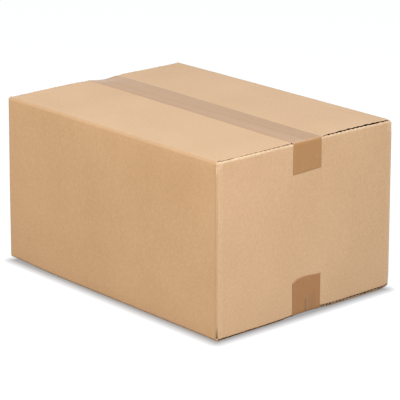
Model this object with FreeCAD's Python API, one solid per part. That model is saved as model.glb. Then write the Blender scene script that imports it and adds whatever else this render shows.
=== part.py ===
"""A closed shipping carton of single-wall corrugated board, sealed with two strips of film tape.

Millimetres. +X runs along the carton's length, +Y across its width and +Z up. The origin is on
the ground, under the middle of the base. The carton is one die-cut sheet: four panels in a row,
an inner flap at both ends of each end panel, an outer flap at both ends of each side panel, and
a tab that is glued inside the first panel. The two strips of tape are pieces of their own.
"""
import FreeCAD, Part
import math
import os

vector = FreeCAD.Vector
across = vector(0, 1, 0)
upward = vector(0, 0, 1)
centre = vector(0, 0, 0)

# Driving sizes of the folded carton, outside the board and without its tapes
length = 430.0
width = 308.0
height = 233.0

# The corrugated board: two liners with a waved medium between them
board = 4.0
liner = 0.4
medium = 0.3
flute_pitch = 7.8

# What a slot knife opens beside the medium, as shares of a flute from the cut: where the lower
# hollow turns back up, where it ends, and where the shallow upper one ends
lower_turn = 0.5
lower_end = 0.68
upper_end = 0.18

# How the sheet is scored, slotted and folded
fold_radius = 4.5
slot_setback = 4.6
slot_slit = 0.4
post_rise = 3.0
lap_gap = 0.3
seam_gap = 1.5
tab_width = 35.0
tab_slant = 12.0

# The tapes. A shift is how far a strip's middle lies off the seam, at the near end and at the
# far one. A tail is torn off along a bowed line. The drops are how far below the lid, or above
# the base, that line lies: a tape's width left of the seam as seen from the near end, on the
# seam, and a tape's width right of it.
tape_width = 50.0
tape_film = 0.15
top_tape_shifts = (-0.5, 7.4)
top_tape_drops = (42.6, 41.1, 39.4)
bottom_tape_shifts = (0.3, 1.3)
bottom_tape_drops = (36.5, 52.2, 42.7)

# How far a shape that only cuts or trims runs past the board, and how near two points are one
overrun = 1.0
same_point = 1e-6

# Faces and levels that follow from the sizes above
end_face = length / 2
side_face = width / 2
floor_level = tape_film
lid_level = floor_level + height
inner_low = floor_level + board + lap_gap
inner_high = lid_level - board - lap_gap
post_low = inner_low + fold_radius
post_high = inner_high - fold_radius
flap_reach = side_face - seam_gap / 2


def polar(middle, radius, degrees):
    """A point in the XZ plane, at an angle from +X towards +Z round a middle."""
    angle = math.radians(degrees)
    return middle + vector(radius * math.cos(angle), 0, radius * math.sin(angle))


def turn(middle, radius, start, end):
    """An arc in the XZ plane, drawn from one angle to another in degrees."""
    halfway = polar(middle, radius, (start + end) / 2)
    return Part.Arc(polar(middle, radius, start), halfway, polar(middle, radius, end)).toShape()


def ends_of(stop):
    """Where a stretch of outline starts and ends. A lone point is both."""
    if isinstance(stop, FreeCAD.Vector):
        return stop, stop
    return stop.valueAt(stop.FirstParameter), stop.valueAt(stop.LastParameter)


def outline_face(stops):
    """A flat face. Its outline is given in order as points and arcs, and straight edges join them."""
    edges = []
    for stop, following in zip(stops, stops[1:] + stops[:1]):
        if not isinstance(stop, FreeCAD.Vector):
            edges.append(stop)
        here, there = ends_of(stop)[1], ends_of(following)[0]
        if here.distanceToPoint(there) > same_point:
            edges.append(Part.makeLine(here, there))
    return Part.Face(Part.Wire(edges))


def turned(shape, degrees):
    """A copy, turned about the upright axis."""
    return shape.copy().rotate(centre, upward, degrees)


def mirrored_across(shape):
    """A copy on the other side of the XZ plane."""
    return shape.mirror(centre, across)


def open_flutes(face, high, half_span):
    """What a slot knife opens along one edge of a top flap: the two hollows beside the medium.

    The medium is a wave from liner to liner. The knife meets it half way up, so the hollow under
    the wave runs in for most of a flute, and the hollow over it is a shallow one.
    """
    swing = (board - 2 * liner - medium) / 2
    bottom_liner = high - board

    def wave(inward, shift):
        rise = board / 2 + swing * math.sin(2 * math.pi * inward / flute_pitch) + shift
        return vector(0, half_span - inward, bottom_liner + rise)

    def hollow(stations, liner_height, shift):
        bends = []
        for near, deep in zip(stations, stations[1:]):
            halfway = wave((near + deep) / 2, shift)
            bends.append(Part.Arc(wave(near, shift), halfway, wave(deep, shift)).toShape())
        clear = half_span + overrun
        floor = bottom_liner + liner_height
        depth = stations[-1]
        return outline_face(
            [vector(0, clear, wave(0, shift).z)] + bends
            + [vector(0, half_span - depth, floor), vector(0, clear, floor)])

    lower_stops = [0, lower_turn * flute_pitch, lower_end * flute_pitch]
    under = hollow(lower_stops, liner, -medium / 2)
    over = hollow([0, upper_end * flute_pitch], board - liner, medium / 2)
    first = face - flap_reach - overrun
    run = flap_reach + overrun - fold_radius - board / 2
    hollows = []
    for section in (under, over):
        section.translate(vector(first, 0, 0))
        hollows.append(section.extrude(vector(run, 0, 0)))
    return hollows


def panel_with_flaps(face, low, high, span):
    """One panel at +X with the flap at its top and the flap at its foot, folded over inwards.

    The section is one strip of board with a rounded fold at each score. Its inside corners are
    almost sharp, as the board is crushed there.
    """
    fold_x = face - fold_radius
    inner_radius = fold_radius - board
    free_edge = face - flap_reach
    upper_fold = vector(fold_x, 0, high - fold_radius)
    lower_fold = vector(fold_x, 0, low + fold_radius)
    section = outline_face([
        vector(free_edge, 0, low),
        turn(lower_fold, fold_radius, -90, 0),
        turn(upper_fold, fold_radius, 0, 90),
        vector(free_edge, 0, high),
        vector(free_edge, 0, high - board),
        turn(upper_fold, inner_radius, 90, 0),
        turn(lower_fold, inner_radius, 0, -90),
        vector(free_edge, 0, low + board)])
    section.translate(vector(0, -span / 2, 0))
    strip = section.extrude(vector(0, span, 0))

    mid_height = vector(0, 0, (low + high) / 2)
    hollows = open_flutes(face, high, span / 2)
    hollows += [hollow.mirror(mid_height, upward) for hollow in hollows]
    hollows += [mirrored_across(hollow) for hollow in hollows]
    return strip.cut(hollows)


def plan_point(x, y):
    """A point at the foot of the corner posts."""
    return vector(x, y, post_low)


def plan_turn(x, y, radius, start, end):
    """An arc seen from above, about a fold's middle."""
    def at(degrees):
        angle = math.radians(degrees)
        return plan_point(x + radius * math.cos(angle), y + radius * math.sin(angle))
    return Part.Arc(at(start), at((start + end) / 2), at(end)).toShape()


def wall_outline():
    """The four panels seen from above, as one strip of board.

    Three corners are folds. At the fourth the strip ends in a cut edge, and the tab that is
    folded off the rear side panel is glued inside it.
    """
    fold_x = end_face - fold_radius
    fold_y = side_face - fold_radius
    inner_radius = fold_radius - board
    tab_face = board - end_face
    tab_fold_x = tab_face + fold_radius
    outside = [
        plan_point(-end_face, fold_y),
        plan_turn(-fold_x, -fold_y, fold_radius, 180, 270),
        plan_turn(fold_x, -fold_y, fold_radius, 270, 360),
        plan_turn(fold_x, fold_y, fold_radius, 0, 90),
        plan_turn(tab_fold_x, fold_y, fold_radius, 90, 180)]
    inside = [
        plan_point(tab_face, side_face - tab_width),
        plan_turn(-fold_x, -fold_y, inner_radius, 180, 270),
        plan_turn(fold_x, -fold_y, inner_radius, 270, 360),
        plan_turn(fold_x, fold_y, inner_radius, 0, 90),
        plan_turn(tab_fold_x, fold_y, inner_radius, 90, 180),
        plan_point(tab_face + board, side_face - tab_width)]
    return outline_face(outside).cut(outline_face(inside))


def corner_posts(strip):
    """The folded corners, which stand a little past the scores, between the ends of the slots."""
    inset = slot_setback - slot_slit
    tall = strip.extrude(vector(0, 0, post_high - post_low + 2 * post_rise))
    tall.translate(vector(0, 0, -post_rise))
    tallest = height + overrun
    along = Part.makeBox(2 * (end_face - inset), width, tallest)
    along.translate(vector(inset - end_face, -side_face, 0))
    aside = Part.makeBox(length, 2 * (side_face - inset), tallest)
    aside.translate(vector(-end_face, inset - side_face, 0))
    return tall.cut([along, aside])


def walls():
    """The four panels between their scores, with the corner posts, and the tab's ends trimmed."""
    strip = wall_outline()
    ring = strip.extrude(vector(0, 0, post_high - post_low))
    return ring.cut(tab_corners()).fuse(corner_posts(strip))


def tab_corners():
    """The two wedges that are cut off the tab, so that its free edge is the shorter one."""
    tab_face = board - end_face
    free_edge = side_face - tab_width
    wedges = []
    for level, inward in ((post_low, tab_slant), (post_high, -tab_slant)):
        face = outline_face([
            vector(tab_face, free_edge, level),
            vector(tab_face, side_face - fold_radius - board, level),
            vector(tab_face, free_edge, level + inward)])
        wedges.append(face.extrude(vector(board, 0, 0)))
    return wedges


def glued_corner():
    """The space in front of the tab's fold, where the rear panel is a board's thickness shorter."""
    space = Part.makeBox(board, fold_radius, post_high - post_low)
    space.translate(vector(-end_face, side_face - fold_radius, post_low))
    beside_fold = Part.makeBox(fold_radius, fold_radius, post_high - post_low)
    beside_fold.translate(vector(board - end_face, side_face - fold_radius, post_low))
    return [space, beside_fold]


def carton():
    """The whole folded and glued sheet, as one solid."""
    end = panel_with_flaps(end_face, inner_low, inner_high, width - 2 * slot_setback)
    side = panel_with_flaps(side_face, floor_level, lid_level, length - 2 * slot_setback)
    rear = turned(side, 90).cut(glued_corner())
    sheets = [turned(end, 180), rear, turned(side, -90)]
    return end.fuse(sheets + [walls()]).removeSplitter()


def film_corner(point, offset, start, end):
    """How film turns a sharp edge: a tiny arc on its outside, and the edge itself on its inside."""
    return turn(point, offset, start, end) if offset > 0 else point


def draped_face(offset, foot):
    """All that lies under a taut strip, from a foot on one end panel to a foot on the other.

    The strip runs up the end panel and part of the way round the scored fold, bridges the gap to
    the slotted edge of the outer flaps as a tangent, and lies flat on the lid. Its inside is the
    outline at no offset, and its outside the outline at the film's thickness.
    """
    fold = vector(end_face - fold_radius, 0, inner_high - fold_radius)
    edge = vector(end_face - slot_setback, 0, lid_level)
    far_fold = vector(-fold.x, 0, fold.z)
    far_edge = vector(-edge.x, 0, edge.z)
    span = edge - fold
    bearing = math.degrees(math.atan2(span.z, span.x))
    leave = bearing - math.degrees(math.acos(fold_radius / span.Length))
    radius = fold_radius + offset
    return outline_face([
        vector(end_face + offset, 0, foot),
        turn(fold, radius, 0, leave),
        film_corner(edge, offset, leave, 90),
        film_corner(far_edge, offset, 90, 180 - leave),
        turn(far_fold, radius, 180 - leave, 180),
        vector(-end_face - offset, 0, foot)])


def strip_outline(shifts):
    """The strip seen from above: as wide as the roll, and a little askew on the seam."""
    near, far = shifts
    reach = end_face + overrun
    half = tape_width / 2
    return outline_face([
        vector(-reach, far - half, 0),
        vector(reach, near - half, 0),
        vector(reach, near + half, 0),
        vector(-reach, far + half, 0)])


def tail_outline(drops):
    """What is kept of the strip as seen from an end, above the bowed line where it was torn."""
    left, middle, right = drops
    far = -end_face - overrun
    above = lid_level + overrun
    torn = Part.Arc(
        vector(far, -tape_width, lid_level - left),
        vector(far, 0, lid_level - middle),
        vector(far, tape_width, lid_level - right)).toShape()
    return outline_face([
        torn,
        vector(far, tape_width, above),
        vector(far, -tape_width, above)])


def tape(shifts, drops):
    """A strip of film over the lid's seam, with a tail turned down on each end panel."""
    foot = lid_level - max(drops) - tape_width
    film = draped_face(tape_film, foot).cut(draped_face(0, foot))
    film.translate(vector(0, -tape_width, 0))
    sheet = film.extrude(vector(0, 2 * tape_width, 0))
    strip = strip_outline(shifts).extrude(vector(0, 0, lid_level + overrun))
    tails = tail_outline(drops).extrude(vector(2 * (end_face + overrun), 0, 0))
    return sheet.common(strip).common(tails).removeSplitter()


def under_base(shape):
    """A copy under the base, where the carton is the same as over its lid."""
    return shape.mirror(vector(0, 0, floor_level + height / 2), upward)


parts = {
    "carton": carton(),
    "top_tape": tape(top_tape_shifts, top_tape_drops),
    "bottom_tape": under_base(tape(bottom_tape_shifts, bottom_tape_drops)),
}
os.makedirs("parts", exist_ok=True)
for name, shape in parts.items():
    assert shape.isValid() and len(shape.Solids) == 1, name
    solid = shape.Solids[0]
    solid.exportStep("parts/" + name + ".step")
    box = solid.BoundBox
    print(name, [round(side, 2) for side in (box.XLength, box.YLength, box.ZLength)])
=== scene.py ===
# %% [markdown]
# # A closed cardboard carton, sealed with film tape
#
# This lesson dresses a plain solid model of a shipping carton. The real object is one flat sheet
# of corrugated board: two paper liners with a waved paper between them. It is scored, slotted,
# folded and glued at one corner, and two strips of tape hold its flaps shut. The same idea makes
# the mesh: each liner is a grid on the flat sheet, and one function folds that grid in space.
#
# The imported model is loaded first. It stays the measure of everything: each new piece takes its
# sizes from it, and rides on its body.

# %% Load the fixed frame
import math

import bmesh
import bpy
import numpy as np
from mathutils import Matrix, Vector


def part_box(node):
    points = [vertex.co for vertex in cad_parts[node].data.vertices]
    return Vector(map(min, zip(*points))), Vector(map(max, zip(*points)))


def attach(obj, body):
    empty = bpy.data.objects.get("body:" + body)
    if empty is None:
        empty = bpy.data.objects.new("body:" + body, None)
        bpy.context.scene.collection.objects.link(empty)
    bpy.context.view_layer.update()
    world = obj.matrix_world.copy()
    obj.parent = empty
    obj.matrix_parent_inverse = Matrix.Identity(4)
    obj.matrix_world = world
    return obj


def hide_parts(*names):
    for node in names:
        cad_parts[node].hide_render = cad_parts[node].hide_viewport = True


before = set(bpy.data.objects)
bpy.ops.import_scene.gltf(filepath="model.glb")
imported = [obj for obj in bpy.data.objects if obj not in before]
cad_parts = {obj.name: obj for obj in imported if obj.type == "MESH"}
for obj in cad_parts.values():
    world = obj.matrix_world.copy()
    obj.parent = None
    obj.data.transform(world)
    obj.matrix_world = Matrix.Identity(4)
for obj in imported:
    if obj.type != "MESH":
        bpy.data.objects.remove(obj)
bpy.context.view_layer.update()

# %% [markdown]
# ## The sheet's sizes
#
# All lengths are in metres, so a millimetre is a named unit. The outside sizes come from the
# frame. The rest are a board maker's values for single-wall board with the C flute: about four
# millimetres thick, with a wave every eight millimetres or so. A score crushes the board to
# little more than half its thickness, so that it folds sharply. The side panels fold last, over
# the others, and their folds are rounder. A closed flap presses the board under it down, so the
# lid lies less than a millimetre above the end panels' scores, and the base two below them.

# %% Sizes of the board and of its folds
mm = 0.001
carton_low, carton_high = [np.array(corner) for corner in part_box("carton")]
end_face = carton_high[0]
side_face = carton_high[1]
base_level = carton_low[2]
lid_level = carton_high[2]

board = 4.0 * mm
liner = 0.35 * mm
flute_pitch = 7.8 * mm
fold_radius = 2.2 * mm
side_radius = 4.2 * mm
score_crush = 0.4
lap_gap = 0.3 * mm
seam_gap = 1.5 * mm
tab_width = 35.0 * mm
tab_slant = 12.0 * mm

step_down = 0.7 * mm
foot_step = 2.0 * mm
inner_low = base_level + foot_step
inner_high = lid_level - step_down
mid_height = lid_level / 2
quarter = math.pi / 2
print("carton", round(end_face * 2000), "x", round(side_face * 2000), "mm, lid at", lid_level)

# %% [markdown]
# ## Folding a flat sheet with one function
#
# A strip of the sheet is one panel with the flap above it and the flap below it. Seen from the
# side, the outer liner goes up the panel, a quarter turn round the score and in along the flap.
# If `turn` is the angle turned so far, the path is a straight line, plus the fold's radius times
# the sine and cosine of `turn`, plus a straight line again. Clipping the distances makes one formula
# serve for all three stretches, so a whole array of points folds at once.
#
# It could also be made by bending a plane with bones or with a modifier. The formula is exact, it
# has no set-up, and it gives the direction of the surface too, which the thickness needs.


# %% The fold, in section
def folded_section(panel, v):
    """Where a strip's outer face runs, for positions v along it.

    v is the height on the panel, and goes on past the score as a distance along the paper. The
    turn is the distance past the score over the radius, held between none and a quarter. The
    point is the score's height plus the radius times the sine of the turn, and it moves inwards
    by the radius times one less the cosine, and by all that is left of the distance.
    """
    radius = panel["radius"]
    foot, top = panel["low"] + radius, panel["high"] - radius
    past_top = np.maximum(v - top, 0)
    past_foot = np.maximum(foot - v, 0)
    turn_top = np.minimum(past_top / radius, quarter)
    turn_foot = np.minimum(past_foot / radius, quarter)
    turn = turn_top - turn_foot
    flat = past_top - turn_top * radius + past_foot - turn_foot * radius
    inward = radius * (1 - np.cos(turn)) + flat
    level = np.clip(v, foot, top) + radius * np.sin(turn)
    return inward, level, turn, flat


def from_score(panel, v, flat):
    """How far along the paper a point lies from the nearest flap score, and nought in the fold."""
    on_wall = np.minimum(panel["high"] - panel["radius"] - v, v - panel["low"] - panel["radius"])
    return np.maximum(on_wall, flat)


def flap_depth(panel):
    """How far a flap's flat part reaches: it ends half the seam's gap before the middle."""
    return side_face - seam_gap / 2 - panel["radius"]


print("flaps reach", round(side_face - seam_gap / 2, 4), "from the faces of the side panels")

# %% [markdown]
# ## Uneven board
#
# Nothing on a used carton is flat. The mean of a few long waves with seeded phases stands for the
# warp of the panels, because it is smooth and gives the same result each run. A random line of
# short straight stretches stands for what is torn or crushed.


# %% Seeded waves
def long_waves(a, b, seed, wavelength, count=5):
    """A smooth height between nought and one: one half plus the mean of some sine waves, halved.

    Each wave has its own direction and phase, drawn from the seed, and a length near the given
    one.
    """
    draw = np.random.default_rng(seed)
    total = np.zeros(np.broadcast(a, b).shape)
    for _ in range(count):
        heading = draw.uniform(0, 2 * math.pi)
        phase = draw.uniform(0, 2 * math.pi)
        pitch = wavelength * draw.uniform(0.7, 1.4)
        along = a * math.cos(heading) + b * math.sin(heading)
        total = total + np.sin(2 * math.pi * along / pitch + phase)
    return 0.5 + 0.5 * total / count


def jitter_line(x, seed, step):
    """A random value between nought and one at each step along a line, joined by straight lines."""
    draw = np.random.default_rng(seed)
    knots = np.arange(-0.4, 0.4, step)
    return np.interp(x, knots, draw.uniform(0, 1, len(knots)))


def bell(x, width):
    """A smooth bump, one at nought and fading over the width: e to the minus x over width squared."""
    return np.exp(-(x / width) ** 2)


print("wave sample", np.round(long_waves(np.array([0, 0.1]), 0.0, 1, 0.2), 3))

# %% [markdown]
# ## The four panels
#
# The carton has two end panels and two side panels. The blank is the same on all four, so one
# record holds what differs: which way the panel faces, how far out it stands, how wide it is and
# at which levels its scores lie. The side panels are scored one board's thickness further out,
# because their flaps close over the others.

# %% What differs from panel to panel
def make_panel(name, facing, seed):
    """A panel that faces a direction in the plane; its u runs to the left of that direction."""
    is_end = facing[0] != 0
    return {
        "name": name,
        "facing": np.array(facing, float),
        "along": np.array([-facing[1], facing[0]], float),
        "face": end_face if is_end else side_face,
        "half": (side_face if is_end else end_face) - fold_radius,
        "low": inner_low if is_end else base_level,
        "high": inner_high if is_end else lid_level,
        "radius": fold_radius if is_end else side_radius,
        "is_end": is_end,
        "seed": seed}


near_end = make_panel("near_end", (1, 0), 11)
rear_side = make_panel("rear_side", (0, 1), 12)
far_end = make_panel("far_end", (-1, 0), 13)
front_side = make_panel("front_side", (0, -1), 14)
panels = [near_end, rear_side, far_end, front_side]
print("panels:", [panel["name"] for panel in panels])

# %% [markdown]
# ## Crushed edges
#
# A flap's slotted edge is cut along the flutes, and there the board is weakest. Somebody has
# pressed on the lid: along its near edge the front flap's upper liner is bent most of the way
# down, so that a thin dark line is left over the dents of the score below, while the rear flap
# still stands open. The amounts are given at a few distances from the fold, nought for open
# and one for shut, and joined by straight lines. Under the tape the edges are left alone, because
# the tape has a pull of its own.
#
# The knife has also cut the lid's flaps a few millimetres short of the end panels' scores. Seen
# from above, an open edge shows a dark slot there, and a crushed one has spread and fills it.

# %% How far each slotted edge is crushed
crush_marks = np.array([0, 2.5, 6, 30, 70, 78, 112, 123, 128, 160]) * mm
plain_crush = [0.0, 0.10, 0.25, 0.45, 0.50, 0.45, 0.40, 0.3, 0.0, 0.0]
near_crush = {
    ("front_side", "lid"): [0.0, 0.10, 0.76, 0.82, 0.80, 0.74, 0.62, 0.66, 0.0, 0.0],
    ("rear_side", "lid"): [0.35, 0.25, 0.15, 0.10, 0.10, 0.10, 0.30, 0.9, 0.3, 0.0],
    ("front_side", "base"): [0.00, 0.00, 0.05, 0.05, 0.12, 0.15, 0.30, 0.7, 0.0, 0.0],
    ("rear_side", "base"): [0.00, 0.00, 0.05, 0.00, 0.05, 0.15, 0.20, 0.6, 0.0, 0.0]}
pinch_depth = 0.5 * mm
lip_jag = 0.25 * mm
slot_recess = 3.4 * mm


def on_near_side(panel, u):
    """Whether a point of a side panel lies on its half towards the near end, where X is positive."""
    return panel["along"][0] * u > 0


def crushed_amount(panel, u, v, flat):
    """How far shut a slotted edge is at each point, from nought to one."""
    uneven = 0.5 + jitter_line(v, panel["seed"] + 7, 16 * mm)
    amount = np.interp(flat, crush_marks, plain_crush) * uneven
    for side in ("lid", "base"):
        here = on_near_side(panel, u) & ((v > mid_height) == (side == "lid"))
        by_hand = np.interp(flat, crush_marks, near_crush[(panel["name"], side)])
        amount = np.where(here, by_hand, amount)
    return amount


def slot_shift(panel, u, v, flat):
    """How far a lid flap's slotted edge is cut back from the end panel's score, with ragged jags.

    It is the slot's recess times the share that is still open. It starts at the fold and fades
    inwards from the edge.
    """
    edge = panel["half"] - np.abs(u)
    open_share = 1 - crushed_amount(panel, u, v, flat)
    jag = 0.4 + 1.1 * jitter_line(v, panel["seed"] + 9, 3.1 * mm)
    on_lid_flap = np.minimum(flat / (3 * mm), 1) * (v > mid_height)
    return slot_recess * open_share * jag * on_lid_flap * bell(edge, 40 * mm)


def lip_sink(panel, u, v, flat):
    """How far the outer liner is bent down along a slotted edge.

    It is the crushed amount at this distance from the fold, with a ripple at each flute and
    small random jags, and it fades inwards from the edge.
    """
    edge = panel["half"] - np.abs(u)
    amount = crushed_amount(panel, u, v, flat)
    ripple = 0.93 + 0.07 * np.cos(2 * math.pi * flat / flute_pitch)
    jag = lip_jag * (jitter_line(v, panel["seed"] + 8, 2.9 * mm) - 0.2) * np.minimum(4 * amount, 1)
    return np.maximum(pinch_depth * amount * ripple * bell(edge, 2.6 * mm) + jag * bell(edge, 1.0 * mm), 0)


print("the front flap's near edge is shut to", near_crush[("front_side", "lid")])

# %% [markdown]
# ## Warp, scores and the pull of the tape
#
# Everything else that makes the board uneven is also written as a depth below the true outer
# face, so the carton never grows past its model. There is a slow warp inside each panel, a
# shallow trough beside each upright score and a row of dents along each score of an end flap,
# where every flute was crushed. The lid sags a little between its edges, and at its far end the
# tape has pulled the edge down by about four millimetres, with the end panel under it. A filled
# carton also spreads at its foot, so the lid is about a millimetre narrower on each side, and
# this one has had knocks.

# %% Depths below the true face
warp_depth = 0.6 * mm
sag_depth = 0.5 * mm
trough_depth = 0.10 * mm
dent_depth = 1.1 * mm
rear_foot_lift = 1.8 * mm
far_pull = 4.0 * mm
near_pull = 0.4 * mm
lean = 0.0047


def lid_sink(x, y):
    """How far the lid lies below its level: a slow sag inside it, and the tape's pull at its ends."""
    inside = (1 - bell(end_face - np.abs(x), 26 * mm)) * (1 - bell(side_face - np.abs(y), 34 * mm))
    sag = sag_depth * long_waves(x, y, 51, 230 * mm) * inside
    rim = end_face - fold_radius
    far = far_pull * bell(x + rim, 19 * mm) * bell(y - 14 * mm, 25 * mm)
    near = near_pull * bell(x - rim, 14 * mm) * bell(y, 20 * mm)
    return sag + far + near


def wall_sink(panel, u, v, apart, turn):
    """How far a wall lies below its face: a slow warp, and troughs beside the upright scores."""
    edge = panel["half"] - np.abs(u)
    clear = (1 - bell(edge, 30 * mm)) * (1 - bell(apart, 25 * mm))
    warp = warp_depth * long_waves(u, v, panel["seed"], 190 * mm) * clear
    trough = trough_depth * (bell(edge - 2.2 * mm, 1.0 * mm) + 0.6 * bell(edge - 6.0 * mm, 1.3 * mm))
    return (warp + trough) * (turn == 0)


def dented(panel, u, v, apart, turn):
    """The dents along the scores of an end flap, one at each flute, deepest where the flap starts."""
    edge = panel["half"] - np.abs(u)
    drift = 3.0 * jitter_line(u, panel["seed"] + 3, 40 * mm)
    flutes = 0.5 + 0.5 * np.cos(2 * math.pi * u / flute_pitch + drift)
    uneven = 0.45 + 0.55 * jitter_line(u, panel["seed"] + 4, 9 * mm)
    folding = bell(np.abs(turn) - quarter, math.radians(33)) * bell(apart, 3 * mm) * (turn != 0)
    return dent_depth * flutes * uneven * folding * (1 - bell(edge, 2 * mm))


print("deepest warp", warp_depth, "deepest dent", dent_depth)


# %% A point of the folded sheet
def folded(panel, u, v, depth):
    """Points of the folded sheet, at u and v on its outer face and some depth into the board.

    The point is the folded section, less the depth and what sinks there along the surface's own
    direction. Depths shrink where a score crushes the board. The lid's sag and the tape's pull
    then press down the flat of a side panel's flap and all of an end panel near the lid, and the
    rear half of an end panel's foot stands a little higher than the front half.
    """
    inward, level, turn, flat = folded_section(panel, v)
    apart = from_score(panel, v, flat)
    edge = panel["half"] - np.abs(u)
    crushed = np.maximum(bell(apart, 3.5 * mm), bell(edge, 3.5 * mm) * (turn == 0))
    sink = depth * (1 - score_crush * crushed) + wall_sink(panel, u, v, apart, turn)
    outer_share = 1 - depth / board
    if panel["is_end"]:
        sink = sink + dented(panel, u, v, apart, turn) * outer_share
    else:
        sink = sink + lip_sink(panel, u, v, flat) * outer_share * (flat > 0)
        u = u - np.sign(u) * slot_shift(panel, u, v, flat)
    out = panel["face"] - inward - sink * np.cos(turn)
    if panel is rear_side:
        u = u - board * (u + panel["half"]) / (2 * panel["half"]) * np.cos(turn) ** 2
    x = panel["facing"][0] * out + panel["along"][0] * u
    y = panel["facing"][1] * out + panel["along"][1] * u
    z = level - sink * np.sin(turn)
    pressed = np.sin(np.maximum(turn, 0)) ** 6
    if panel["is_end"]:
        pressed = bell(lid_level - level, 40 * mm)
        z = z + rear_foot_lift * bell(level - base_level, 14 * mm) * np.clip(u / (30 * mm), 0, 1)
    z = z - lid_sink(x, y) * pressed
    return np.stack(np.broadcast_arrays(x, y, z), axis=-1)


print("middle of the near end", folded(near_end, np.zeros(1), np.full(1, mid_height), 0.0).round(4))

# %% Knocks, and the lean of a carton that has stood
# Each knock: its place in metres, and in millimetres its push there and its reach, in x, y and z
knocks = [
    ((end_face, side_face, lid_level), (-0.6, -0.6, -1.0), (5, 5, 5)),
    ((end_face, side_face, base_level), (-0.6, -0.6, 2.2), (9, 9, 9)),
    ((end_face, -0.014, base_level), (-0.3, 0.0, 1.7), (40, 20, 20)),
    ((end_face, 0.014, base_level), (-0.3, 0.0, 1.7), (40, 20, 20)),
    ((-end_face, -side_face, lid_level), (0.8, 0.8, -1.0), (60, 60, 100)),
    ((-end_face, -side_face, base_level), (0.0, 0.0, 2.6), (60, 60, 40)),
    ((0.0, side_face, lid_level), (0.0, 0.0, -0.9), (2000, 45, 60)),
    ((-end_face, 0.09, lid_level), (0.0, 0.0, -1.3), (60, 55, 60))]


def settled(points):
    """Points of a carton that has stood, filled, and been knocked.

    In plan they are drawn in towards the middle, by a share that grows with their height. Each
    knock moves the points near its place by its push, times a bell of the distance.
    """
    share = 1 - lean * (points[..., 2:] - base_level) / (lid_level - base_level)
    moved = np.concatenate([points[..., :2] * share, points[..., 2:]], axis=-1)
    for place, push, reach in knocks:
        away = (points - np.array(place)) / (np.array(reach) * mm)
        moved = moved + np.exp(-(away ** 2).sum(axis=-1, keepdims=True)) * np.array(push) * mm
    return moved


print(len(knocks), "knocks, and a lean of", round(lean * end_face / mm, 2), "mm at the lid")


# %% Where the paper is rubbed, and where highlights and shade are painted
def rub_and_painted_light(panel, u, v, turn, apart):
    """How much paler the paper is painted, up to one, and below nought how much darker.

    The upper score of an end panel is paler, partly rubbed paper and partly a painted highlight
    where the fold catches the light, most towards the front. Its upright edges carry a painted
    highlight, and there are patchy pale spots near its upper corners. The lips of the lid's slotted
    edges are paler, partly worn cut paper and partly a painted highlight. An end panel's lower
    score, the lips of the base, the upper score of a side panel and the band beside a side panel's
    upright scores are darker, which is painted shade.
    """
    edge = panel["half"] - np.abs(u)
    tilt = np.degrees(np.abs(turn))
    upper = v > mid_height
    if panel["is_end"]:
        near_front = 0.55 + 0.45 * (panel["facing"][0] * u < 0)
        # The upper score: partly rubbed paper, partly a painted highlight where the fold meets the light.
        crease = bell(tilt - 18, 22) * bell(apart, 1.2 * mm) * upper
        score = near_front * (0.30 * bell(tilt - 62, 18) + 1.1 * crease)
        score = score * (0.75 + 0.5 * jitter_line(u, panel["seed"] + 5, 14 * mm))
        # The lower score is painted shade.
        score = score - 1.0 * bell(tilt - 85, 30) * ~upper * (turn != 0)
        # The upright edges carry a painted highlight.
        upright = 0.35 * bell(edge - 1.4 * mm, 0.9 * mm) + 0.15 * bell(edge - 5.5 * mm, 1.2 * mm)
        corner = 0.7 * bell(edge - 2.5 * mm, 3.5 * mm) * bell(apart - 3 * mm, 4 * mm) * upper
        corner = corner * jitter_line(v + 0.7 * u, 31, 1.1 * mm)
        return np.clip(score + upright * (turn == 0) + corner, -1, 1)
    # A side panel's upper score is painted shade, which damps the light on its fold.
    score = -0.60 * bell(tilt - 50, 28) * upper
    # The lid's lips: partly worn cut paper, partly painted highlight. The base's lips: painted shade.
    lip = 0.55 * bell(edge, 0.9 * mm) * (tilt > 80) * np.where(upper, 1, -2)
    # The band beside the upright scores is painted shade.
    beside_score_shade = 0.55 * bell(edge - 0.5 * mm, 1.1 * mm) * (turn == 0)
    return np.clip(score + lip - beside_score_shade, -1, 1)


# Beside a side panel's upright score the paper is painted shade, below nought.
beside_score = rub_and_painted_light(front_side, front_side["half"] - 0.5 * mm, mid_height, 0.0, mid_height)
print("wear beside a side panel's upright score", round(float(beside_score), 2))

# %% [markdown]
# ## Grids, and a sheet that collects them
#
# A grid of points becomes quads by numbering its rows and columns. Each sheet of paper is made of
# several grids, for the panels, the corners and the tab, whose shared edges have the same points,
# so that merging close points makes one surface. Each point also keeps its place on the flat
# blank as a UV, because the fibres of the paper follow the blank, and how much paler or darker
# it is painted, for wear and as painted highlight and shade.

# %% Collect grids into one mesh
def grid_quads(rows, columns, first, flipped):
    """The corner numbers of a grid's quads, counted from a first number, seen from outside."""
    index = first + np.arange(rows * columns).reshape(rows, columns)
    corners = [index[:-1, :-1], index[:-1, 1:], index[1:, 1:], index[1:, :-1]]
    if flipped:
        corners.reverse()
    return np.stack(corners, axis=-1).reshape(-1, 4)


def merge_close(mesh):
    """Join points that lie on each other, which the grids have along their shared edges."""
    work = bmesh.new()
    work.from_mesh(mesh)
    bmesh.ops.remove_doubles(work, verts=work.verts, dist=0.01 * mm)
    work.to_mesh(mesh)
    work.free()


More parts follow.
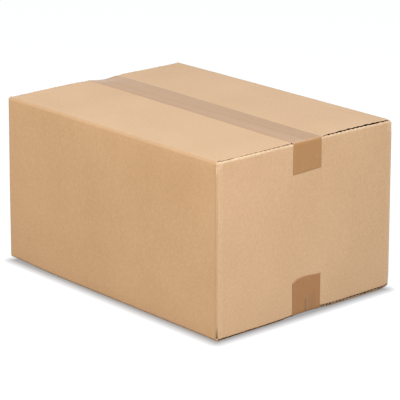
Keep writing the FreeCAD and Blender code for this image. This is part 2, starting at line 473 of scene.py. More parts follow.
class Sheet:
    """Points, quads, blank coordinates, paleness and material numbers of one object."""

    def __init__(self):
        self.points, self.quads, self.blank, self.paleness, self.finish = [], [], [], [], []
        self.count = 0

    def add(self, points, blank, paleness, finish, flipped=False):
        """Take in one grid, given as arrays of rows by columns."""
        rows, columns = points.shape[:2]
        quads = grid_quads(rows, columns, self.count, flipped)
        self.points.append(settled(points).reshape(-1, 3))
        self.quads.append(quads)
        self.blank.append(np.broadcast_to(blank, (rows, columns, 2)).reshape(-1, 2))
        self.paleness.append(np.broadcast_to(paleness, (rows, columns)).reshape(-1))
        self.finish.append(np.full(len(quads), finish))
        self.count += rows * columns

    def make(self, name, finishes, thickness):
        """The finished object: close points merged, paper thickness added, faces smooth."""
        mesh = bpy.data.meshes.new(name)
        quads = np.concatenate(self.quads)
        mesh.from_pydata(np.concatenate(self.points), [], quads)
        for finish in finishes:
            mesh.materials.append(finish)
        mesh.polygons.foreach_set("material_index", np.concatenate(self.finish))
        layer = mesh.uv_layers.new(name="blank")
        loops = np.concatenate(self.blank)[quads.reshape(-1)]
        layer.data.foreach_set("uv", loops.reshape(-1))
        rub = mesh.attributes.new("rub_and_painted_light", "FLOAT", "POINT")
        rub.data.foreach_set("value", np.concatenate(self.paleness))
        merge_close(mesh)
        mesh.shade_smooth()
        thing = bpy.data.objects.new(name, mesh)
        bpy.context.collection.objects.link(thing)
        skin = thing.modifiers.new("paper", "SOLIDIFY")
        skin.thickness = thickness
        skin.offset = -1
        skin.use_even_offset = False
        return thing


print("a grid of 3 by 4 points has", len(grid_quads(3, 4, 0, False)), "quads")

# %% [markdown]
# ## Where to place the points
#
# A grid needs points where the surface bends, not where it is flat. Across a side panel they are
# close only near its slotted edges. Across an end panel there are four to each flute, for the
# dents. Up a strip they are close round the flap scores and, on a side panel's flaps, all the way
# along, because their edges are ragged.

# %% Points across and along a strip
edge_columns = np.array([0, 0.4, 0.8, 1.3, 1.9, 2.6, 3.5, 4.6, 6, 8, 11, 14, 18, 23, 29, 36]) * mm
plain_columns = np.array([0, 2, 6, 14, 29]) * mm


def spread_across(half, near_edge, step):
    """Positions across a strip: the given ones at both edges, and even steps between."""
    inner = half - near_edge[-1] - step / 2
    even = np.linspace(-inner, inner, int(2 * inner / step) + 1)
    return np.concatenate([near_edge - half, even, half - near_edge[::-1]])


panel_rows = np.linspace(inner_low + fold_radius, inner_high - fold_radius, 15)
wall_rows = np.linspace(base_level + side_radius, lid_level - side_radius, 15)
by_score = np.array([0.7, 1.5, 2.6, 4.5]) * mm
end_rows = np.sort(np.concatenate([panel_rows, panel_rows[0] + by_score, panel_rows[-1] - by_score]))
fold_angles = np.linspace(0, quarter, 9)
shut_in_turn = math.radians(56)
past_fold = np.array([0.8, 1.6, 2.5, 3.6, 4.8, 6, 8, 10.5, 13]) * mm
plain_flap = np.array([2, 6, 14, 30, 60, 90, 120]) * mm
side_columns = spread_across(front_side["half"], edge_columns, 20 * mm)


def spread_along(panel, ragged):
    """Positions along a strip, from one free edge to the other."""
    flap = np.append(plain_flap, flap_depth(panel))
    if ragged:
        flap = np.concatenate([past_fold, np.linspace(15.6 * mm, flap_depth(panel), 51)])
    radius = panel["radius"]
    past = np.concatenate([fold_angles * radius, quarter * radius + flap])
    above = panel["high"] - radius + past
    below = panel["low"] + radius - past[::-1]
    middle = end_rows if panel["is_end"] else wall_rows
    return np.concatenate([below, middle[1:-1], above])


print("a side strip has", len(spread_along(front_side, True)), "rows and", len(side_columns), "columns")

# %% [markdown]
# ## The two liners
#
# A real sheet has an outer and an inner liner, a third of a millimetre thick, nearly four
# millimetres apart. Both are the same folded grid, at another depth. A thick solid board would
# be quicker, but its slotted edges would be blank. With two liners the light falls between them,
# as on the real edge.
#
# At three corners a quarter turn joins the panels, which is an arc carried up the height. The
# paper of the outer liner also rounds over the corner above and below it, as a small dome that
# rises with the side panel's fold, and only a small dark hole is left beside it. The fourth
# corner is glued: the rear panel is folded into a tab, which lies inside the end panel.
#
# An end panel's flaps are shut in, and so is the last third of the fold at its foot. They get the
# dark finish of the medium as painted shade, so that the gaps beside them look as deep as they are.

# %% A strip of one liner
def blank_place(panel, u, v):
    """A point's place on the flat blank: the panels lie in a row, and v runs up the sheet."""
    offset = {"near_end": 0.0, "rear_side": 0.37, "far_end": 0.74, "front_side": 1.11}
    return np.stack(np.broadcast_arrays(u + offset[panel["name"]], v), axis=-1)


def add_strip(sheet, panel, depth, outer):
    """A panel with its two flaps, in the dark finish, a painted shade, where an end panel's outside is shut
    in.
    """
    if not outer:
        columns = spread_across(panel["half"], plain_columns, 30 * mm)
    elif panel["is_end"]:
        columns = spread_across(panel["half"], edge_columns, flute_pitch / 4)
    else:
        columns = side_columns
    rows = spread_along(panel, outer and not panel["is_end"])
    v, u = np.meshgrid(rows, columns, indexing="ij")
    turn, flat = folded_section(panel, v)[2:]
    paleness = rub_and_painted_light(panel, u, v, turn, from_score(panel, v, flat))
    points, blank = folded(panel, u, v, depth), blank_place(panel, u, v)
    if not (outer and panel["is_end"]):
        sheet.add(points, blank, paleness, 0, not outer)
        return
    foot = int((turn[:, 0] > -shut_in_turn).argmax())
    top = int((flat[:, 0] > 0.01 * mm)[foot:].argmax()) + foot
    for part, finish in ((slice(0, foot + 1), 1), (slice(foot, top), 0), (slice(top - 1, None), 1)):
        sheet.add(points[part], blank[part], paleness[part], finish, False)


print("the rear panel starts on the blank at", blank_place(rear_side, -rear_side["half"], 0.0).round(3))

# %% Corner posts, and the paper over the corners
ear_crumple = 0.45 * mm


def post_centre(panel):
    """The middle of the upright fold at a panel's left edge, seen from above."""
    reach = panel["half"] - (board if panel is rear_side else 0)
    return panel["facing"] * (panel["face"] - fold_radius) + panel["along"] * reach


def around(panel, angle, radius):
    """The x and y at an angle round a panel's upright fold, measured from the panel's facing."""
    centre = post_centre(panel)
    x = centre[0] + radius * (panel["facing"][0] * np.cos(angle) + panel["along"][0] * np.sin(angle))
    y = centre[1] + radius * (panel["facing"][1] * np.cos(angle) + panel["along"][1] * np.sin(angle))
    return x, y


def add_post(sheet, panel, depth, outer):
    """The upright fold: an arc from one facing to the next, a little flattened, up the height.

    Its point is the centre plus the radius times cosine and sine of the turn.
    """
    z, angle = np.meshgrid(wall_rows, fold_angles, indexing="ij")
    flattened = 0.2 * mm * np.sin(2 * angle) ** 2
    radius = fold_radius - depth * (1 - score_crush) - flattened
    x, y = around(panel, angle, radius)
    u = panel["half"] + fold_radius * angle
    toward_side = angle if panel["is_end"] else quarter - angle
    # The arc is painted paler towards the end panel, a painted highlight, and darker towards the side,
    # painted shade.
    paleness = 0.30 * bell(toward_side, 0.25) - 0.55 * bell(toward_side - 0.75, 0.45)
    sheet.add(np.stack([x, y, z], axis=-1), blank_place(panel, u, z), paleness, 0, not outer)


def add_ear(sheet, panel, at_top):
    """The paper rounded over a corner: a small dome, crumpled towards the end panel.

    It rises with the side panel's fold: its level is that fold's middle plus the side radius
    times the sine of the rise. Its distance from the upright fold's middle is that fold's radius
    less the side radius times one less the cosine, until nothing is left.
    """
    rise, angle = np.meshgrid(fold_angles, fold_angles, indexing="ij")
    toward_end = quarter - angle if panel["is_end"] else angle
    pleats = 0.5 + 0.5 * np.sin(5 * rise + 2 * toward_end)
    crumple = ear_crumple * np.sin(toward_end) ** 2 * pleats * np.sin(2 * rise)
    left = np.maximum(fold_radius - side_radius * (1 - np.cos(rise)) - crumple, 0)
    x, y = around(panel, angle, left)
    lift = side_radius * np.sin(rise)
    z = lid_level - side_radius + lift if at_top else base_level + side_radius - lift
    u = panel["half"] + fold_radius * angle
    v = z + (side_radius if at_top else -side_radius) * rise / quarter
    paleness = 0.35 * np.sin(toward_end) * np.sin(2 * rise)
    sheet.add(np.stack([x, y, z], axis=-1), blank_place(panel, u, v), paleness, 0, not at_top)


print("the fold at the near rear corner turns about", np.round(post_centre(near_end), 4))


# %% The tab, and both whole liners
def add_tab(sheet, depth, outer):
    """The glue tab: a flat strip inside the far end panel, with slanted ends."""
    reach = np.linspace(0, tab_width - fold_radius, 5)
    rows, inward = np.meshgrid(wall_rows, reach, indexing="ij")
    middle = (inner_low + inner_high) / 2
    slant = 1 - tab_slant * inward / reach[-1] / (inner_high - middle)
    z = middle + (rows - middle) * slant
    x = np.full_like(z, -end_face + board + lap_gap + depth)
    y = side_face - fold_radius - inward
    x = x - lap_gap * bell(inward, 2 * mm)
    u = rear_side["half"] + 1.6 * fold_radius + inward
    sheet.add(np.stack([x, y, z], axis=-1), blank_place(rear_side, u, z), 0.0, 0, not outer)


def add_liner(sheet, depth, outer):
    """One whole liner of the folded and glued blank."""
    for panel in panels:
        add_strip(sheet, panel, depth, outer)
        add_post(sheet, panel, depth, outer)
        if outer and panel is not rear_side:
            add_ear(sheet, panel, True)
            add_ear(sheet, panel, False)
    add_tab(sheet, depth, outer)


board_sheet = Sheet()
add_liner(board_sheet, 0.0, True)
outer_count = board_sheet.count
add_liner(board_sheet, board, False)
print("liner points", outer_count, "outside and", board_sheet.count - outer_count, "inside")

# %% [markdown]
# ## The waved medium along the slotted edges
#
# A slot knife cuts beside a flute and never quite along it, so the open edge wanders from the
# crest of the wave to its foot. The medium is a sine wave across a narrow band, and its phase
# drifts along the edge. Where the liners are pinched the wave is flattened with them. At the rear
# of the base the cut runs through the wave, which shows as a zigzag between two rows of gaps.

# %% A band of medium behind each slotted edge
medium_step = 1.9 * mm
medium_reach = 9.0 * mm
zigzag_pitch = 6.4 * mm


def add_medium(sheet, panel, side, run, seed, inset, start, zigzag):
    """A band of waved paper behind one cut edge, which runs from one v to another.

    The depth in the board is half its thickness plus a swing times the sine of the distance from
    the edge, in flutes, plus a phase that drifts along the edge from its start. The zigzag is a
    second, shorter sine along the edge, which fades inwards. The band has the medium's painted
    shade, and along the zigzag's cut the paper is painted pale, as where the light reaches it.
    """
    along = np.linspace(*run, int(abs(run[1] - run[0]) / medium_step))
    across = inset + np.linspace(0, medium_reach, 13)
    v, place = np.meshgrid(along, across, indexing="ij")
    swing = (board - 3 * liner) / 2
    drift = start + 2.4 * (long_waves(v, 0.0, seed, 120 * mm) - 0.5)
    place = place + 0.7 * mm * jitter_line(v, seed + 1, 3 * mm) * bell(place - inset, 2 * mm)
    u = side * (panel["half"] - place)
    wave = np.sin(2 * math.pi * place / flute_pitch + drift)
    uneven = 4 * jitter_line(v, seed + 2, 25 * mm)
    crumple = zigzag * np.sin(2 * math.pi * v / zigzag_pitch + uneven)
    fade = bell(place - inset, 3.5 * mm)
    depth = board / 2 + swing * (wave * (1 - fade * (zigzag > 0)) + crumple * fade)
    # The zigzag's cut paper is painted pale against the medium's painted shade.
    cut = 1.5 * bell(place - inset, 0.8 * mm) * (zigzag > 0)
    sheet.add(folded(panel, u, v, depth), blank_place(panel, u, v), cut, 1, side < 0)


medium_inset = {"lid": 4.5 * mm, "base": 0.6 * mm}
medium_start = {"lid": 0.8, "base": -2.0}
for number, panel in enumerate([front_side, rear_side]):
    past_score = panel["radius"] * (quarter - 1)
    first, last = past_score + 2 * mm, past_score + flap_depth(panel) - 1 * mm
    lid_run = (panel["high"] + first, panel["high"] + last)
    base_run = (panel["low"] - last, panel["low"] - first)
    for side in (-1, 1):
        seed = 60 + 10 * number + side
        cut_through = panel is rear_side and on_near_side(panel, side)
        inset = 0.2 * mm if cut_through else medium_inset["base"]
        zigzag = 0.7 if cut_through else 0.0
        add_medium(board_sheet, panel, side, lid_run, seed, medium_inset["lid"], medium_start["lid"], 0.0)
        add_medium(board_sheet, panel, side, base_run, seed + 5, inset, medium_start["base"], zigzag)
upright_run = (panel_rows[0], panel_rows[-1])
add_medium(board_sheet, far_end, -1, upright_run, 90, 0.3 * mm, medium_start["lid"], 0.0)
print("board sheet has", board_sheet.count, "points")

# %% [markdown]
# ## Writing a material as a chain of nodes
#
# Paper and film get their look from nodes. A short helper adds a node and sets its sockets, so
# that a material reads as a list of what it is made of. Colours are written as the eye sees them
# on a screen, from 0 to 255, and turned into the linear light that the renderer works with.

# %% Helpers for colours and nodes
def seen_colour(red, green, blue):
    """A screen colour as linear light: each part over 255, to the power of about 2.4."""
    parts = np.array([red, green, blue]) / 255
    linear = np.where(parts <= 0.04045, parts / 12.92, ((parts + 0.055) / 1.055) ** 2.4)
    return (*linear.tolist(), 1.0)


class Recipe:
    """A node material under construction."""

    def __init__(self, name):
        self.material = bpy.data.materials.new(name)
        self.material.use_nodes = True
        self.tree = self.material.node_tree
        self.shader = self.tree.nodes["Principled BSDF"]

    def add(self, kind, inputs=None, **settings):
        """A new node of a kind. Inputs are values, or sockets of other nodes to link from."""
        node = self.tree.nodes.new(kind)
        for key, value in settings.items():
            setattr(node, key, value)
        for key, value in (inputs or {}).items():
            self.feed(node.inputs[key], value)
        return node

    def feed(self, socket, value):
        """Set a socket, or link it when the value is another node's socket."""
        if isinstance(value, bpy.types.NodeSocket):
            self.tree.links.new(value, socket)
        else:
            socket.default_value = value

    def maths(self, operation, first, second=0.0, third=0.0):
        """The result socket of one sum."""
        return self.add("ShaderNodeMath", {0: first, 1: second, 2: third}, operation=operation).outputs[0]

    def noise(self, place, scale, detail=3.0, rough=0.55):
        """Cloudy values between nought and one."""
        inputs = {"Vector": place, "Scale": scale, "Detail": detail, "Roughness": rough}
        return self.add("ShaderNodeTexNoise", inputs).outputs["Fac"]

    def stretched(self, place, scale):
        """Coordinates with their own scale along each axis, for grain that runs one way."""
        return self.add("ShaderNodeMapping", {"Vector": place, "Scale": scale}).outputs[0]

    def blend(self, amount, below, above):
        """A colour between two others, which are the Mix node's sockets 6 and 7."""
        node = self.add("ShaderNodeMix", data_type="RGBA")
        self.feed(node.inputs["Factor"], amount)
        self.feed(node.inputs[6], below)
        self.feed(node.inputs[7], above)
        return node.outputs[2]

    def ramp(self, value, low, high):
        """Nought under the low mark, one over the high mark and straight between."""
        node = self.add("ShaderNodeMapRange", {"Value": value, "From Min": low, "From Max": high})
        return node.outputs[0]

    def bump(self, height, distance, under=None):
        """A bump of the given height in metres, on top of another one."""
        node = self.add("ShaderNodeBump", {"Height": height, "Distance": distance})
        if under is not None:
            self.feed(node.inputs["Normal"], under)
        return node.outputs[0]

    def paleness(self, colour, pale, dark, unevenness):
        """The colour, paler where marked for wear and painted highlight, darker mostly for painted shade.
        """
        rub_and_light = self.add("ShaderNodeAttribute", attribute_name="rub_and_painted_light").outputs["Fac"]
        patchy = self.maths("MULTIPLY", rub_and_light, unevenness)
        colour = self.blend(self.ramp(patchy, 0.0, 1.0), colour, pale)
        return self.blend(self.ramp(patchy, 0.0, -1.0), colour, dark)


print("kraft tan as linear light", np.round(seen_colour(222, 184, 144), 3))

# %% [markdown]
# ## Kraft paper
#
# Kraft liner is unbleached wood fibre. Close up it is a felt of fibres that lie mostly along the
# paper machine's direction, which is across the flutes, with darker flecks of bark. Further away
# it is a little cloudy, and the flutes behind it show as very faint stripes. Where a score or an
# edge has been rubbed it is paler, and some folds and edges carry painted highlights and painted
# shade. The fibres read the blank's UV, so they turn the corners with the sheet, and the clouds
# read Object coordinates.
#
# The medium and the shut-in flaps have the same make-up in a colour much darker than real paper.
# Hardly any light reaches them between the liners, and the gaps have to look nearly black.

# %% Kraft liner and medium
paper_tan = seen_colour(229, 192, 153)
paper_shade = seen_colour(205, 166, 125)
# The pale colour is for rubbed paper and painted highlights, the dark one for painted shade.
paper_rub_and_highlight = seen_colour(244, 216, 182)
paper_painted_shade = seen_colour(176, 144, 112)
paper_fleck = seen_colour(158, 118, 80)
# The medium's two tones are painted shade, far darker than real paper.
medium_painted_shade = seen_colour(40, 22, 11)
medium_painted_deep_shade = seen_colour(24, 13, 7)


def kraft_paper(name, body, shade, flute_height, gloss):
    """A matt paper with clouds, fibres, flecks, faint flutes, rubbed folds and painted light and shade."""
    paper = Recipe(name)
    where = paper.add("ShaderNodeTexCoord")
    place, blank = where.outputs["Object"], where.outputs["UV"]
    clouds = paper.noise(place, 9.0, 3.0)
    grain = paper.noise(place, 330.0, 3.0)
    fibres = paper.noise(paper.stretched(blank, (420.0, 2600.0, 1.0)), 1.0, 3.0, 0.65)
    flecks = paper.noise(paper.stretched(blank, (520.0, 1150.0, 1.0)), 1.0, 2.0)
    tone = paper.maths("MULTIPLY_ADD", clouds, 0.30, paper.maths("MULTIPLY", grain, 0.40))
    tone = paper.maths("MULTIPLY_ADD", fibres, 0.40, tone)
    colour = paper.blend(paper.ramp(tone, 0.36, 0.74), shade, body)
    colour = paper.blend(paper.maths("MULTIPLY", paper.ramp(flecks, 0.66, 0.78), 0.45), colour, paper_fleck)
    colour = paper.paleness(colour, paper_rub_and_highlight, paper_painted_shade, paper.ramp(grain, 0.1, 0.6))
    paper.feed(paper.shader.inputs["Base Color"], colour)
    paper.shader.inputs["Roughness"].default_value = 0.60
    paper.shader.inputs["Specular IOR Level"].default_value = gloss
    split = paper.add("ShaderNodeSeparateXYZ", {"Vector": blank}).outputs
    wave = paper.maths("SINE", paper.maths("MULTIPLY", split[0], 2 * math.pi / flute_pitch))
    rise = paper.bump(wave, flute_height)
    rise = paper.bump(clouds, 0.15 * mm, under=rise)
    rise = paper.bump(grain, 0.03 * mm, under=rise)
    rise = paper.bump(fibres, 0.015 * mm, under=rise)
    paper.feed(paper.shader.inputs["Normal"], rise)
    return paper.material


liner_finish = kraft_paper("kraft_liner", paper_tan, paper_shade, 0.006 * mm, 0.62)
shaded_medium_finish = kraft_paper("kraft_medium_painted_shade", medium_painted_shade, medium_painted_deep_shade, 0.0, 0.0)
print("made", liner_finish.name, "and", shaded_medium_finish.name)

# %% [markdown]
# ## The carton itself
#
# The sheet becomes one object. Solidify turns each grid into paper of a real thickness, so the
# cut edges have a rim to catch the light. The piece takes the place of the plain solid.

# %% Make the folded carton
carton_board = board_sheet.make("carton_board", [liner_finish, shaded_medium_finish], liner)
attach(carton_board, "root")
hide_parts("carton")
print(carton_board.name, "has", len(carton_board.data.polygons), "faces before its thickness")

# %% [markdown]
# ## Film tape pulled tight
#
# Each strip of tape is a ribbon: a path along its length, and a straight line across. The path
# goes up an end panel, leaves the rounded score where a taut strip would, bridges to the edge of
# the outer flaps and lies on the lid. Between the score and the edge the film is a straight line
# that just touches the score's circle, and the angle where it leaves follows from that. Where
# the tape has pulled the lid's edge down, the same line ends lower.
#
# Cloth simulation would give softer wrinkles, but tape is stretched and hardly wrinkles at all.
# What shows is fine ridges along its length, a shallow valley over the seam and a torn end.

# %% The path of a strip
tape_width = 50 * mm
film = 0.05 * mm
film_lift = 0.05 * mm
seam_valley = 0.12 * mm
ribbon_columns = 106
path_column = 50


def torn_edge(across, drops):
    """How far below the lid a tail is torn, for positions across it: straight stretches and teeth.

    The drops are given at even places from the left edge to the right one.
    """
    bow = np.interp(across, np.linspace(-tape_width / 2, tape_width / 2, len(drops)), drops)
    tooth = np.abs((across / (1.9 * mm)) % 1 - 0.5)
    return bow + 0.6 * mm * tooth


def tape_end(across, shift, drops, sink):
    """The tail, the score and the bridge at one end: arrays of x, z and the turn from upright.

    A taut line from the lid's edge touches the score's circle at the angle whose sine is the
    radius over the edge's height above the circle's middle.
    """
    middle_x = end_face - fold_radius
    pulled = sink(middle_x, across + shift)
    middle_z = inner_high - fold_radius - pulled
    edge_z = lid_level - pulled
    leave = np.arcsin(fold_radius / (edge_z - middle_z))
    radius = fold_radius + film_lift
    angle = np.linspace(0, 1, 7)[:, None] * leave
    score_x = middle_x + radius * np.cos(angle)
    score_z = middle_z + radius * np.sin(angle)
    share = np.linspace(0, 1, 7)[1:-1, None]
    bridge_x = score_x[-1] + (middle_x - score_x[-1]) * share
    bridge_z = score_z[-1] + (edge_z + film_lift - score_z[-1]) * share
    tail_share = np.linspace(0, 1, 22)[:-1, None]
    tail_drop = torn_edge(across, drops) * (1 - tail_share) + (lid_level - middle_z) * tail_share
    tail_z = lid_level - tail_drop
    tail_x = np.full_like(tail_z, end_face + film_lift)
    turn = np.concatenate([0 * tail_z, angle, leave + 0 * bridge_z])
    return np.concatenate([tail_x, score_x, bridge_x]), np.concatenate([tail_z, score_z, bridge_z]), turn


print("the film is", round(film / mm, 2), "mm thick and", round(tape_width / mm), "mm wide")


# %% Ridges and creases of the film
def ridges(across, along, seed):
    """Fine ridges that run along the film, as heights from nought to one."""
    line = 0.5 * jitter_line(across, seed, 1.3 * mm) + 0.5 * jitter_line(across, seed + 1, 4.7 * mm)
    return line * (0.65 + 0.35 * np.sin(along * 2 * math.pi / (130 * mm) + seed))


def film_marks_and_painted_light(x, y, z, across, on_lid, on_base):
    """How much paler the film is painted, above nought, and how much darker, below it.

    On the lid a dark line follows the seam, the gap's painted shade under the film, the half in
    front of it is a little paler than the one behind, and there are random streaks. Where the film
    bends over the lid's edge it has a painted highlight. At the foot of the base strip, where the
    seam meets the score, a pleat line and three crease lines are painted shade.
    """
    rim = end_face - fold_radius
    halves = 0.14 * bell(x - rim, 150 * mm) * np.where(y < 0, 1.0, -0.6) * on_lid
    # The seam's dark line is the gap's painted shade under the film.
    seam = -0.45 * bell(y - 0.2 * mm, 0.8 * mm) * on_lid
    streak = 0.18 * (jitter_line(across, 21, 3.1 * mm) - 0.5) * on_lid
    # The bend over the lid's edge is a painted highlight.
    bend = 0.8 * bell(np.abs(x) - rim, 0.8 * mm) * bell(z - lid_level, 2.0 * mm)
    paleness = halves + seam + streak + bend
    if on_base:
        height = lid_level - z
        low = (height > 2 * mm) & ~on_lid
        # The pleat and crease lines at the foot are painted shade.
        pleat = 1.5 * bell(y + 0.8 * mm, 0.75 * mm) * (height < 20 * mm)
        streaks = bell(y - 7 * mm, 0.6 * mm) + bell(y - 11 * mm, 0.7 * mm) + bell(y - 16 * mm, 0.6 * mm)
        paleness = -(pleat + 0.6 * streaks * (height < 26 * mm)) * low
    return paleness


print("a ridge in the film's middle is", ridges(0.0, 0.0, 5).round(3), "of the full height")


# %% The ribbon of a whole strip
def tape_ribbon(name, shifts, drops, on_base, finish, seed):
    """A whole strip: tail, score, bridge, lid and the same again at the far end.

    Across the lid it has its rows where the carton's grid has its columns, and it sinks by the
    same formula, so that it lies on the paper everywhere.
    """
    def sink(x, y):
        return 0 * x * y if on_base else lid_sink(x, y)

    across = np.linspace(-tape_width / 2, tape_width / 2, ribbon_columns)[None, :]
    near, far = shifts
    near_x, near_z, near_turn = tape_end(across, near, drops, sink)
    far_x, far_z, far_turn = tape_end(across, far, drops, lambda x, y: sink(-x, y))
    over_x = side_columns[::-1, None] + 0 * across
    x = np.concatenate([near_x, over_x, -far_x[::-1]])
    y = across + near + (far - near) * (end_face - x) / (2 * end_face)
    over = slice(len(near_x), len(near_x) + len(over_x))
    over_z = lid_level + film_lift - sink(over_x, y[over])
    z = np.concatenate([near_z, over_z, far_z[::-1]])
    turn = np.concatenate([near_turn, quarter + 0 * over_x, math.pi - far_turn[::-1]])
    on_lid = turn == quarter
    lift = 0.02 * mm * ridges(across + 0 * x, x + z, seed)
    x = x + lift * np.cos(turn)
    z = z + lift * np.sin(turn) - seam_valley * bell(y, 1.1 * mm) * on_lid
    paleness = film_marks_and_painted_light(x, y, z, across, on_lid, on_base)
    if on_base:
        z = base_level + lid_level - z
    path_x, path_z = x[:, path_column], z[:, path_column]
    step = np.hypot(np.diff(path_x, prepend=path_x[0]), np.diff(path_z, prepend=path_z[0]))
    along = np.cumsum(step)[:, None]
    ribbon = Sheet()
    blank = np.stack(np.broadcast_arrays(along, across), axis=-1)
    ribbon.add(np.stack([x, y, z], axis=-1), blank, paleness, 0, on_base)
    return ribbon.make(name, [finish], film)


print("a ribbon has", ribbon_columns, "lines of points along it")


# %% [markdown]
# ## Tan film
#
# Packing tape is a clear film with a brown adhesive. It is darker and redder than the board, half
# glossy, and greyer where it mirrors the sky at a low angle. Fine streaks run along it, and small
# pale patches show where it hasn't wetted the paper. The strip under the base is a darker copy of
# the film, painted shade for its low place on the end panels.

# %% Film tape finish and the two strips
# The pale colour is for dry patches, light streaks and the painted highlight; the dark one for darker
# streaks and painted shade.
film_dry_and_highlight = seen_colour(214, 176, 138)
film_streak_and_shade = seen_colour(112, 86, 62)


def film_tape_finish(name, tan, shade):
    """A half glossy tan film with streaks along its length."""
    tape = Recipe(name)
    where = tape.add("ShaderNodeTexCoord")
    place, strip = where.outputs["Object"], where.outputs["UV"]
    streaks = tape.noise(tape.stretched(strip, (9.0, 420.0, 1.0)), 1.0, 2.0)
    fine = tape.noise(tape.stretched(strip, (30.0, 1500.0, 1.0)), 1.0, 2.0)
    patches = tape.noise(place, 70.0, 4.0, 0.6)
    colour = tape.blend(tape.ramp(streaks, 0.25, 0.75), shade, tan)
    colour = tape.blend(tape.maths("MULTIPLY", tape.ramp(patches, 0.58, 0.74), 0.20), colour, film_dry_and_highlight)
    colour = tape.paleness(colour, film_dry_and_highlight, film_streak_and_shade, tape.ramp(patches, -0.6, 0.6))
    tape.feed(tape.shader.inputs["Base Color"], colour)
    tape.shader.inputs["Roughness"].default_value = 0.30
    tape.shader.inputs["Specular IOR Level"].default_value = 0.80
    rise = tape.bump(streaks, 0.012 * mm)
    rise = tape.bump(fine, 0.004 * mm, under=rise)
    rise = tape.bump(patches, 0.02 * mm, under=rise)
    tape.feed(tape.shader.inputs["Normal"], rise)
    return tape.material


lid_film = film_tape_finish("lid_film", seen_colour(182, 132, 73), seen_colour(176, 125, 66))
# The base strip's darker copy of the film is painted shade.
base_film = film_tape_finish("base_film", seen_colour(172, 118, 54), seen_colour(164, 110, 48))
lid_drops = np.array([41.8, 41.5, 41.1, 40.7, 40.2]) * mm
base_drops = np.array([47.0, 51.3, 52.3, 52.2, 51.7, 50.8, 50.7]) * mm
top_strip = tape_ribbon("top_strip", (-0.5 * mm, 10.0 * mm), lid_drops, False, lid_film, 5)
base_strip = tape_ribbon("base_strip", (0.3 * mm, 1.3 * mm), base_drops, True, base_film, 8)
for strip, node in ((top_strip, "top_tape"), (base_strip, "bottom_tape")):
    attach(strip, "root")
    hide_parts(node)
print("tapes have", len(top_strip.data.polygons), "and", len(base_strip.data.polygons), "faces")

# %% [markdown]
# ## White surroundings and soft light
#
# The carton stands in a white studio. The floor and the sky are plain white to the camera, so the
# carton's colours aren't washed out by strong lamps to get there. To all other rays the floor is
# nearly black, which keeps its bounce weak and the foot of the walls darker. A glowing floor
# shows no shadow, so a painted shadow stands in for it: the glow sinks to a grey within a short
# way of the carton's foot.
#
# Four lamps light the carton. A large cool one above is for the lid, a plain one on the right
# makes the end lighter than the side, a warm one on the left is for the side, and a small weak
# one close to the end makes its upper front corner the brightest.

# %% The floor
floor_reach = 6.0
floor_tint = (0.15, 0.12, 0.09, 1)
glow_tint = (0.96, 1.0, 1.05, 1)
floor_glow = 0.95
foot_glow = 0.33
shadow_reach = 17 * mm
shadow_short = 5 * mm


def only_seen(recipe, unseen, seen):
    """A shader that the camera and reflections see, and another for all other rays."""
    path = recipe.add("ShaderNodeLightPath").outputs
    rays = recipe.maths("MAXIMUM", path["Is Camera Ray"], path["Is Glossy Ray"])
    rays = recipe.maths("MAXIMUM", rays, path["Is Transmission Ray"])
    return recipe.add("ShaderNodeMixShader", {0: rays, 1: unseen, 2: seen}).outputs[0]


def white_floor():
    """A wide floor that glows white to the camera, with a painted shadow close to the carton's foot.

    The distance is that from a box in plan: the root of the squares of how far past its faces a
    point lies. The box ends at the two faces near the camera. It ends twice the short length
    inside the other two, so that the shadow hardly shows behind them.
    """
    near, far = -floor_reach, floor_reach
    mesh = bpy.data.meshes.new("floor")
    mesh.from_pydata([(near, near, 0), (far, near, 0), (far, far, 0), (near, far, 0)], [], [(0, 1, 2, 3)])
    floor = bpy.data.objects.new("floor", mesh)
    bpy.context.collection.objects.link(floor)
    finish = Recipe("white_floor")
    finish.tree.nodes.remove(finish.shader)
    matt = finish.add("ShaderNodeBsdfDiffuse", {"Color": floor_tint}).outputs[0]
    where = finish.add("ShaderNodeTexCoord").outputs["Object"]
    split = finish.add("ShaderNodeSeparateXYZ", {"Vector": where}).outputs
    past = []
    for axis, shift, face in ((split[0], -shadow_short, end_face), (split[1], shadow_short, side_face)):
        centred = finish.maths("ABSOLUTE", finish.maths("ADD", axis, shift))
        past.append(finish.maths("MAXIMUM", finish.maths("SUBTRACT", centred, face - shadow_short), 0.0))
    square = finish.maths("MULTIPLY_ADD", past[0], past[0], finish.maths("MULTIPLY", past[1], past[1]))
    away = finish.maths("SQRT", square)
    spread = {"Value": away, "From Max": shadow_reach, "To Min": foot_glow, "To Max": floor_glow}
    strength = finish.add("ShaderNodeMapRange", spread).outputs[0]
    glow = finish.add("ShaderNodeEmission", {"Color": glow_tint, "Strength": strength}).outputs[0]
    none = finish.add("ShaderNodeEmission", {"Strength": 0.0}).outputs[0]
    both = finish.add("ShaderNodeAddShader", {0: matt, 1: only_seen(finish, none, glow)}).outputs[0]
    finish.feed(finish.tree.nodes["Material Output"].inputs["Surface"], both)
    mesh.materials.append(finish.material)
    return floor


floor = white_floor()
print("the floor's glow sinks from", floor_glow, "to", foot_glow, "at the carton's foot")

# %% The sky
sky_light = 0.17


class SkyRecipe(Recipe):
    """The world's nodes under construction."""

    def __init__(self, name):
        world = bpy.data.worlds.new(name)
        world.use_nodes = True
        bpy.context.scene.world = world
        self.tree = world.node_tree


def white_sky(strength):
    """A world that lights evenly at a strength, and is plain white to the camera and in gloss."""
    sky = SkyRecipe("white_sky")
    light = sky.tree.nodes["Background"]
    light.inputs["Color"].default_value = (1, 1, 1, 1)
    light.inputs["Strength"].default_value = strength
    seen = sky.add("ShaderNodeBackground", {"Color": (1, 1, 1, 1), "Strength": 1.0}).outputs[0]
    sky.feed(sky.tree.nodes["World Output"].inputs["Surface"], only_seen(sky, light.outputs[0], seen))


white_sky(sky_light)
print("the sky lights at a strength of", sky_light)


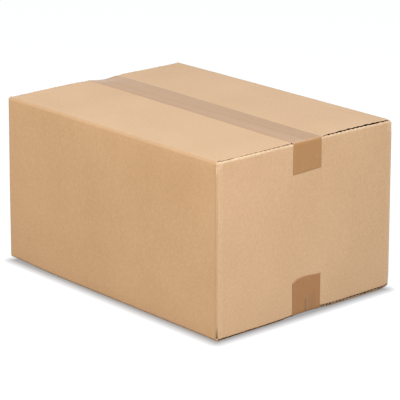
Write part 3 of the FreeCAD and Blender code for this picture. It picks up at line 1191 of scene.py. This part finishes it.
# %% The lamps
def soft_lamp(name, place, size, watts, colour):
    """A square lamp that faces the carton's middle."""
    lamp = bpy.data.lights.new(name, "AREA")
    lamp.size = size
    lamp.energy = watts
    lamp.color = colour
    holder = bpy.data.objects.new(name, lamp)
    holder.location = place
    sight = Vector((0.0, 0.0, lid_level / 2)) - Vector(place)
    holder.rotation_euler = sight.to_track_quat("-Z", "Y").to_euler()
    bpy.context.collection.objects.link(holder)


soft_lamp("lamp_above", (0.1, 0.4, 2.6), 2.2, 19.5, (0.80, 1.0, 1.26))
soft_lamp("lamp_right", (2.6, 0.4, 1.2), 1.8, 34.5, (1.00, 1.0, 1.00))
soft_lamp("lamp_left", (-0.5, -2.0, 1.7), 1.2, 42.2, (1.11, 1.0, 0.83))
soft_lamp("lamp_near_end", (0.95, -0.45, 0.45), 0.5, 3.1, (1.05, 1.0, 0.95))
print("four lamps are in place")

# %% [markdown]
# ## The camera
#
# The photo's camera was worked out from the visible corners and edges of the carton: it looks
# down by about 17 degrees, from nearly midway between the side and the end, with a long lens. Its
# place is a distance behind the carton's middle along the line of sight, with a small shift
# sideways and down.

# %% Camera at the photo's angle
azimuth = math.radians(48.683)
elevation = math.radians(17.330)
distance = 2.8669
aside, above = 0.00548, -0.0117
aim_height = 0.116
focal_pixels = 2130.04
picture_pixels = 400
sensor = 36.0

back = np.array([
    math.sin(azimuth) * math.cos(elevation),
    -math.cos(azimuth) * math.cos(elevation),
    math.sin(elevation)])
right = np.array([math.cos(azimuth), math.sin(azimuth), 0.0])
upward = np.cross(back, right)
aim = np.array([0.0, 0.0, aim_height])
place = aim + back * distance + right * aside + upward * above

camera_data = bpy.data.cameras.new("camera")
camera_data.sensor_width = sensor
camera_data.lens = focal_pixels * sensor / picture_pixels
camera = bpy.data.objects.new("camera", camera_data)
camera.location = place
camera.rotation_euler = Matrix(np.stack([right, upward, back], axis=1).tolist()).to_euler()
bpy.context.collection.objects.link(camera)
bpy.context.scene.camera = camera
bpy.context.scene.view_settings.view_transform = "Standard"
print("camera at", np.round(place, 3), "with a", round(camera_data.lens, 1), "mm lens")
